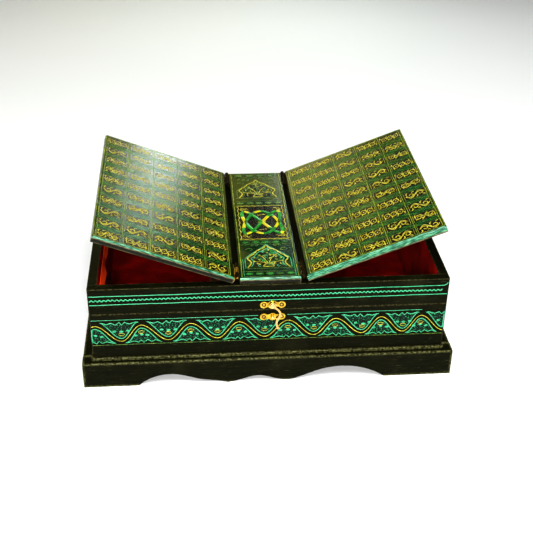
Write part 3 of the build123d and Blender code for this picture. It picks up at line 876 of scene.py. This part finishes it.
def bush(gold, green, teal, base, apex):
    """A small vase whose stems, leaves and flowers fill an arch."""
    tall = apex - base
    vase = [(-6, base + 1.2), (-4, base + 5), (0, base + 6.4), (4, base + 5), (6, base + 1.2)]
    gold.line(smooth(vase, 5), 1.3, 0.24)
    gold.line([(-6.5, base + 0.8), (0, base + 0.4), (6.5, base + 0.8)], 1.2, 0.24)
    for k in range(84):
        v = between(base + 2, apex - 8)
        reach = half_width(v, apex) - 2.5
        u = between(-reach, reach)
        relief = (green, green, gold, teal)[k % 4]
        if k % 2:
            radius, start, side = between(1.7, 2.5), between(0, 6.3), rng.choice((-1, 1))
            relief.line(spiral(u, v, radius, start, 0.8, side), 1.1, 0.16, taper=0.4)
        else:
            petal(relief, u, v, between(3, 4.4), 1.9, between(0.3, 2.8), 0.18)
    for k, lean in enumerate((-1.15, -0.75, -0.38, 0, 0.38, 0.75, 1.15)):
        long = tall * (0.62 - 0.2 * abs(lean)) + between(-1, 1)
        heading = pi / 2 - lean
        across, up = cos(heading) * long, sin(heading) * long
        bend, end = (across * 0.5 - lean * 1.6, base + 6 + up * 0.5), (across, base + 6 + up * 0.82)
        (green if k % 2 else gold).line(smooth([(0, base + 5.6), bend, end], 6), 1.2, 0.24, taper=0.4)
        gold.dot(*end, 2.4, 3, 0.3, heading)


def oval_row(green, dark, light, v, half, count):
    """A row of leaf-shaped ovals, each with a light vein."""
    pitch = 2 * half / count
    for k in range(count):
        u = -half + pitch * (k + 0.5)
        dark.dot(u, v, pitch * 1.02, 8.6, 0.08, sides=16)
        long, tall = pitch * between(0.36, 0.42), between(2.4, 3)
        outline = [(u + long * x, v + tall * y * abs(y) ** 0.4) for x, y in ring(0, 0, 1, 1)]
        green.patch(outline, 0.18)
        vein = ruled((u - long * 0.6, v - 0.5), (u + long * 0.6, v + 0.4), 2, 0.3, rng.randrange(999))
        light.line(vein, 0.8, PETAL_RISE, taper=0.7)


def knot(gold, yellow, green, dark, centre, across, tall):
    """An endless looped knot in green and yellow lengths with a dark edge."""
    lengths, steps = 36, 6
    count = lengths * steps
    path = []
    for k in range(count):
        t = FULL_TURN * k / count
        path.append((across * sin(2 * t), centre + tall * sin(3 * t)))
    dark.line(path, 7, 0.12, closed=True)
    for k in range(lengths):
        piece = [path[(k * steps + i) % count] for i in range(steps + 1)]
        (yellow if k % 3 == 0 else green).line(piece, between(4.4, 5.2), 0.4)
    for k in (-1, 0, 1):
        v = centre + k * tall * 0.66
        gold.dot(0, v, 2.2, height=0.3)
        for side, heading in ((1, 0), (-1, pi)):
            petal(gold, side * 1.4, v, 3.4, 1.6, heading, SCROLL_RISE)


def knot_frame(gold, inner):
    """Scalloped lines round the knot's field, and a scroll with a leaf and a dot in each corner."""
    wide, tall = 2 * inner + 2, KNOT_HIGH - KNOT_LOW
    for v in (KNOT_LOW, KNOT_HIGH):
        wavy = [(wide * (t / 44 - 0.5), v + 1.2 * abs(sin(t * pi / 6)) - 0.5) for t in range(45)]
        gold.line(wavy, 1.15)
    for side in (-1, 1):
        wavy = [(side * (inner + 0.4 - 1.5 * abs(sin(t * pi / 8))), KNOT_LOW + tall * t / 56)
                for t in range(57)]
        gold.line(wavy, 1.15)
        for v, up in ((KNOT_LOW + 8, 1), (KNOT_HIGH - 8, -1)):
            corner = spiral(side * (inner - 6), v, 3.4, pi / 2 * up, 1.3, -side * up)
            gold.line(corner, 1.1, taper=0.2)
            heading = pi * (0.5 - side * 0.5) + side * up * 0.3
            petal(gold, side * (inner - 11.5), v - up * 2.4, 4.6, 1.8, heading)
            gold.dot(side * (inner - 12.4), v + up * 0.8, 1.6, height=SCROLL_RISE)


def panel_ornament():
    """The centre panel: two arches with bushes, rows of ovals and a framed knot between them."""
    gold = Relief("panel_gold", panel_top, GOLD_PAINT, "gold_paint")
    lime = Relief("panel_lines", panel_top, LIME_PAINT, "gold_paint")
    teal = Relief("panel_teal", panel_top, TEAL_PAINT, "teal_paint")
    green = Relief("panel_green", panel_top, GREEN_PAINT, "painted_top")
    moss = Relief("panel_moss", panel_top, MOSS_PAINT, "painted_top")
    dark = Relief("panel_grounds", panel_top, CELL_GROUND, "painted_top")
    knot_green = Relief("panel_knot_green", panel_top, KNOT_GREEN, "painted_top")
    knot_yellow = Relief("panel_knot_yellow", panel_top, KNOT_YELLOW, "gold_paint")
    half = HALF_PANEL - 2.4
    inner = half - 3.4
    for side in (-1, 1):
        border, thin = side * half, side * (half - 2.6)
        lime.line(ruled((border, 3.2), (border, DEPTH - 3), 5, 0.5, 60 + side), 1.1, 0.22)
        teal.line(ruled((thin, 4), (thin, 40), 5, 0.4, 64 + side), 0.8, 0.18)
    for v, count in OVAL_ROWS:
        oval_row(moss if v > KNOT_LOW else green, dark, lime, v, inner + 1, count)
        for edge in (v - 5.2, v + 5.2):
            moss.line(ruled((-inner - 1, edge), (inner + 1, edge), 4, 0.5, int(edge) + 70), 0.6, 0.16)
    for apex, leaves, outline in ((FRONT_APEX, green, teal), (BACK_APEX, moss, moss)):
        base = apex - ARCH_TALL
        outline.line(arch_line(OUTER_ARCH, apex), 1.2, 0.2)
        gold.line(arch_line(GOLD_ARCH, apex, 7), 1.8, 0.3)
        outline.line(arch_line(INNER_ARCH, apex), 1.3, 0.2)
        dark.patch(arch_line(INNER_ARCH, apex), 0.04)
        bush(gold, leaves, outline, base + 1.5, apex)
        moss.line(ruled((-inner, base - 1.5), (inner, base - 1.5), 3, 0.9, int(apex)), 0.7, 0.18)
        for side in (-1, 1):
            for du, dv, size, lean in ((-4, 1, 6.5, 0.4), (-11, 3.5, 5.5, 0.9), (-3.5, -8, 5.5, 0.6),
                                       (-17, 4.5, 4.5, 0.2)):
                start = pi / 2 + side * lean
                moss.line(curl(side * (inner + du), apex + dv, size, start, 4.4, side), 1.2, 0.2)
    left, right = -inner - 1, inner + 1
    dark.patch([(left, KNOT_LOW), (right, KNOT_LOW), (right, KNOT_HIGH), (left, KNOT_HIGH)])
    knot_frame(gold, inner)
    knot(gold, knot_yellow, knot_green, dark, (KNOT_LOW + KNOT_HIGH) / 2, inner - 4.6, 27)
    for relief in (knot_green, knot_yellow, gold, lime, teal, moss, green):
        relief.build()
    dark.build(crease=0)


# ---- cloth linings

CLOTH_CREASE = 60
PUCKER_RIM = 6


def grid_sheet(name, place, across, tall, steps, material, body):
    """A thin closed cloth on a grid. place(s, t, face) gives a point in mm; face is 0 behind, 1 in front."""
    nu, nv = steps
    verts = [Vector(place(across * i / nu, tall * j / nv, face)) * MM
             for face in (0, 1) for j in range(nv + 1) for i in range(nu + 1)]

    def index(face, i, j):
        return (face * (nv + 1) + j) * (nu + 1) + i

    faces = []
    for j in range(nv):
        for i in range(nu):
            corners = ((i, j), (i + 1, j), (i + 1, j + 1), (i, j + 1))
            faces.append([index(1, *corner) for corner in corners])
            faces.append([index(0, *corner) for corner in corners[::-1]])
    rim = [(i, 0) for i in range(nu)] + [(nu, j) for j in range(nv)]
    rim += [(i, nv) for i in range(nu, 0, -1)] + [(0, j) for j in range(nv, 0, -1)]
    for here, ahead in zip(rim, rim[1:] + rim[:1]):
        faces.append([index(0, *here), index(0, *ahead), index(1, *ahead), index(1, *here)])
    return add_piece(name, verts, faces, material, body, CLOTH_CREASE)


def lining(node, body):
    """A glued cloth with shallow puckers and an uneven upper edge, in the place of a CAD lining."""
    low, high = box_mm(node)
    size = [b - a for a, b in zip(low, high)]
    seed = sum(map(ord, node))
    r = np.random.default_rng(seed)
    waves = [(r.uniform(0.03, 0.12), r.uniform(0.03, 0.16), r.uniform(0, 6.3), r.uniform(0.3, 1))
             for _ in range(6)]
    full = sum(strength for *_, strength in waves)
    thin = size.index(min(size))
    wide, up = (axis for axis in range(3) if axis != thin)
    across, tall = size[wide], size[up]
    faces_up = thin == 2
    inward, wall = (1, low[thin]) if low[thin] + high[thin] < 0 or faces_up else (-1, high[thin])

    def pucker(s, t):
        return 0.5 + 0.5 * sum(w * sin(a * s + b * t + c) for a, b, c, w in waves) / full

    def place(s, t, face):
        point = [0, 0, 0]
        point[wide], point[up] = low[wide] + s, low[up] + t
        if not faces_up and t > tall - 0.01:
            point[2] -= 0.5 + 0.5 * sin(0.11 * s + seed) + 0.35 * sin(0.29 * s)
        loose = min(s, across - s, t, tall - t, PUCKER_RIM) / PUCKER_RIM
        point[thin] = wall + inward * (0.35 + face * (0.35 + 0.9 * pucker(s, t) * loose))
        return point

    steps = (max(4, int(across / 6)), max(3, int(tall / 6)))
    piece = grid_sheet(f"{node}_cloth", place, across, tall, steps, RED_FELT, body)
    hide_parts(node)


def loose_edge():
    """The raw edge of the left lining, come away from the wall, in a brighter orange felt that paints the
    light falling on the lining there.
    """
    low, high = box_mm("lid_left_lining")
    end_gap, wide = 3, 10.5
    long = high[1] - low[1] - 2 * end_gap

    def place(s, t, face):
        sag = 1.3 * sin(s * 0.062) + 0.8 * sin(s * 0.15 + 1)
        out = 1.4 + (3.4 + sag) * (1 - t / wide)
        return high[0] + out + face * 0.5, low[1] + end_gap + s, high[2] - 16 + t * 0.94 + sag * 0.5

    piece = grid_sheet("left_lining_loose_edge", place, long, wide, (60, 4), PAINTED_LIT_FELT, "lid")


def linings():
    for side in ("front", "back", "left", "right"):
        lining(f"box_{side}_lining", "box")
        lining(f"lid_{side}_lining", "lid")
    lining("floor_lining", "box")
    loose_edge()


# ---- studio

def camera():
    """The viewing angle: a little left of the front, well above it, turned one degree in its own plane."""
    azimuth, elevation, roll = (radians(a) for a in (-5.19, 31.93, 0.99))
    distance, target = 1.2027, Vector((0.00665, 0, 0.0689))
    level = Vector((cos(azimuth), sin(azimuth), 0))
    ahead = Vector((-sin(azimuth), cos(azimuth), 0))
    back = Vector((0, 0, sin(elevation))) - ahead * cos(elevation)
    right = level * cos(roll) + back.cross(level) * sin(roll)
    data = bpy.data.cameras.new("camera")
    data.lens = 65.5
    data.sensor_width = 36
    data.clip_end = 20
    cam = in_scene("camera", data)
    cam.matrix_world = Matrix((right, back.cross(right), back)).transposed().to_4x4()
    cam.location = target + back * distance
    bpy.context.scene.camera = cam


def area(name, place, target, size, power, colour=(1, 1, 1)):
    """A rectangular soft light aimed at a point."""
    data = bpy.data.lights.new(name, "AREA")
    data.shape = "RECTANGLE"
    data.size, data.size_y = size
    data.energy = power
    data.color = colour
    lamp = in_scene(name, data)
    lamp.location = place
    lamp.rotation_euler = (Vector(target) - Vector(place)).to_track_quat("-Z", "Y").to_euler()


def floor():
    """Pale paper, just under the plinth."""
    half = 1.9
    mesh = bpy.data.meshes.new("floor")
    corners = [(-half, -half, 0), (half, -half, 0), (half, half, 0), (-half, half, 0)]
    mesh.from_pydata(corners, [], [range(4)])
    n = Look("floor_paper", MATT_SHINE)
    mesh.materials.append(n.done(n.mix(n.noise(n.at, 3, 2), (0.9,) * 3, (0.87,) * 3), 0.9))
    sheet = in_scene("floor", mesh)
    sheet.location = (0, 0, -0.2 * MM)


def room():
    """A dim sky, brightest at the horizon, that the camera sees as white."""
    white = 20
    world = bpy.data.worlds.new("room")
    world.use_nodes = True
    n = Nodes(world.node_tree)
    height = n.split(n.add("TexCoord").outputs["Generated"])["Z"]
    seen = n.times(n.add("LightPath").outputs["Is Camera Ray"], white)
    strength = n.plus(seen, n.span(height, 0.12, 0.5, 0.8, 0.1))
    n.put(world.node_tree.nodes["Background"].inputs["Strength"], strength)
    bpy.context.scene.world = world


def lights():
    """A broad key in front and above with three fills, a small window behind on the right whose glare falls
    on the left leaf, and a dim pale wall that hazes the right leaf."""
    glare, to_window = Vector((-0.12, 0.122, 0.167)), Vector((0.2689, 0.9035, 0.3339))
    haze, to_wall = Vector((0.07, 0.1, 0.147)), Vector((-0.217, 0.886, 0.41))
    area("window", glare + to_window * 1.4, glare, (0.14, 0.14), 1.7, (0.86, 1, 0.98))
    area("pale_wall", haze + to_wall * 1.6, haze, (0.36, 0.2), 1.2, (1, 0.97, 0.5))
    area("key", (0.12, -1, 1.75), (0, 0, 0.08), (1.1, 0.8), 24)
    area("front_fill", (-0.2, -1.75, 1.05), (0, 0, 0.1), (0.7, 0.5), 32)
    area("left_fill", (-1.9, -0.5, 1.1), (0, 0, 0.1), (0.9, 0.9), 16)
    area("right_fill", (1.8, -0.5, 1.1), (0, 0, 0.1), (0.9, 0.9), 16)


dress_nodes()
lid_band()
wall_band()
nail_painted_shade()
leaf_top(left_top, "left_leaf", PITCHES, PITCHES[0] + 3)
mirrored = [LEAF_REACH - LEAF_INNER - pitch for pitch in reversed(PITCHES)]
leaf_top(right_top, "right_leaf", mirrored, mirrored[-1] - 3)
panel_ornament()
linings()
camera()
floor()
room()
lights()
picture = bpy.context.scene.view_settings
picture.view_transform = "Standard"
picture.look = "High Contrast"
